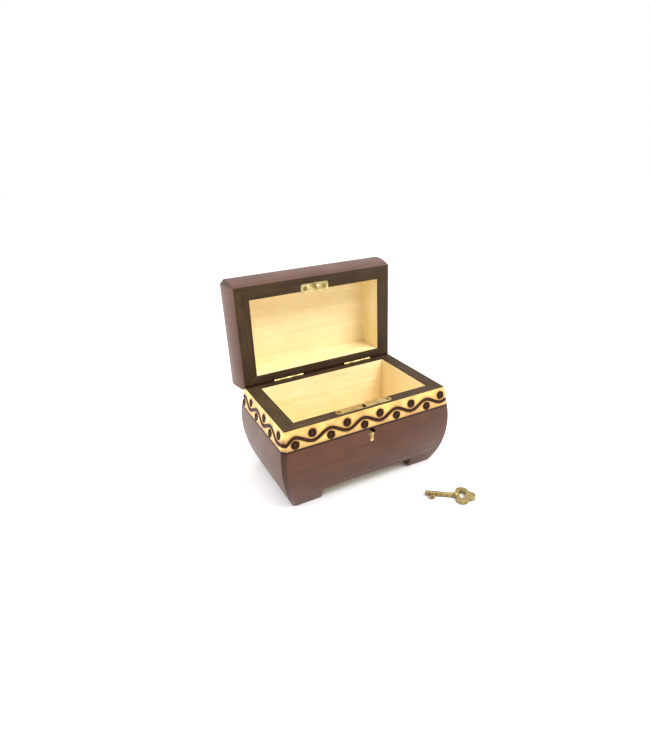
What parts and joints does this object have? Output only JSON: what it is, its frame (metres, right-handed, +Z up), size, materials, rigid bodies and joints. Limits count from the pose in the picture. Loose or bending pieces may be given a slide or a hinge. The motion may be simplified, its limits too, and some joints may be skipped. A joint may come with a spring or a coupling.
{
  "type": "lockable hinged wooden casket",
  "caption": "Small bombe-walled wooden casket with a hinged lid, carved vine band, box lock with link plate, foot rails and a loose key.",
  "frame": {"origin": "on the floor, at the bottom centre of the set's bounding box (open casket with the key lying in front of it); the case's own middle is 11.5 mm behind it, on the same left-right centre line", "axes": "+Z up from the floor; -Y is the front, with the keyhole; +X to the right as seen from the front; the hinge line runs along X"},
  "size_m": [0.1384, 0.1593, 0.1451],
  "materials": {
    "stained_wood": "satin stained and lacquered, with a natural band and unstained inside faces",
    "natural_wood": "sanded, unstained",
    "brass_fittings": "thin dull brass plating on pressed sheet",
    "key_brass": "cast, antiqued",
    "steel_fittings": "drawn wire and spring strip"
  },
  "bodies": {
    "case": {"front_board": "stained_wood", "back_board": "stained_wood", "left_board": "stained_wood", "right_board": "stained_wood", "base_panel": "natural_wood", "left_foot_rail": "stained_wood", "right_foot_rail": "stained_wood", "left_hinge_case_leaf": "brass_fittings", "left_hinge_pin": "steel_fittings", "right_hinge_case_leaf": "brass_fittings", "right_hinge_pin": "steel_fittings", "lock_plate": "brass_fittings", "lock_cap": "brass_fittings", "lock_spring": "steel_fittings", "lock_drill_pin": "steel_fittings", "lock_screws": "brass_fittings"},
    "lid": {"lid_front_board": "stained_wood", "lid_back_board": "stained_wood", "lid_left_board": "stained_wood", "lid_right_board": "stained_wood", "lid_top_board": "stained_wood", "left_hinge_lid_leaf": "brass_fittings", "right_hinge_lid_leaf": "brass_fittings", "link_plate": "brass_fittings", "link_staple": "brass_fittings", "link_screws": "brass_fittings"},
    "bolt": {"lock_bolt": "brass_fittings"},
    "key": {"key": "key_brass"}
  },
  "joints": [
    {"name": "lid_hinge", "type": "hinge", "parent": "case", "child": "lid", "pos_m": [0, 0.0484, 0.06515], "axis": [1, 0, 0], "range_deg": [0, 91.6]},
    {"name": "bolt_slide", "type": "slide", "parent": "case", "child": "bolt", "axis": [-1, 0, 0], "range_m": [0, 0.005]},
    {"name": "key_lift", "type": "slide", "parent": "case", "child": "key", "axis": [0, 0, 1], "range_m": [0, 0.12]}
  ]
}
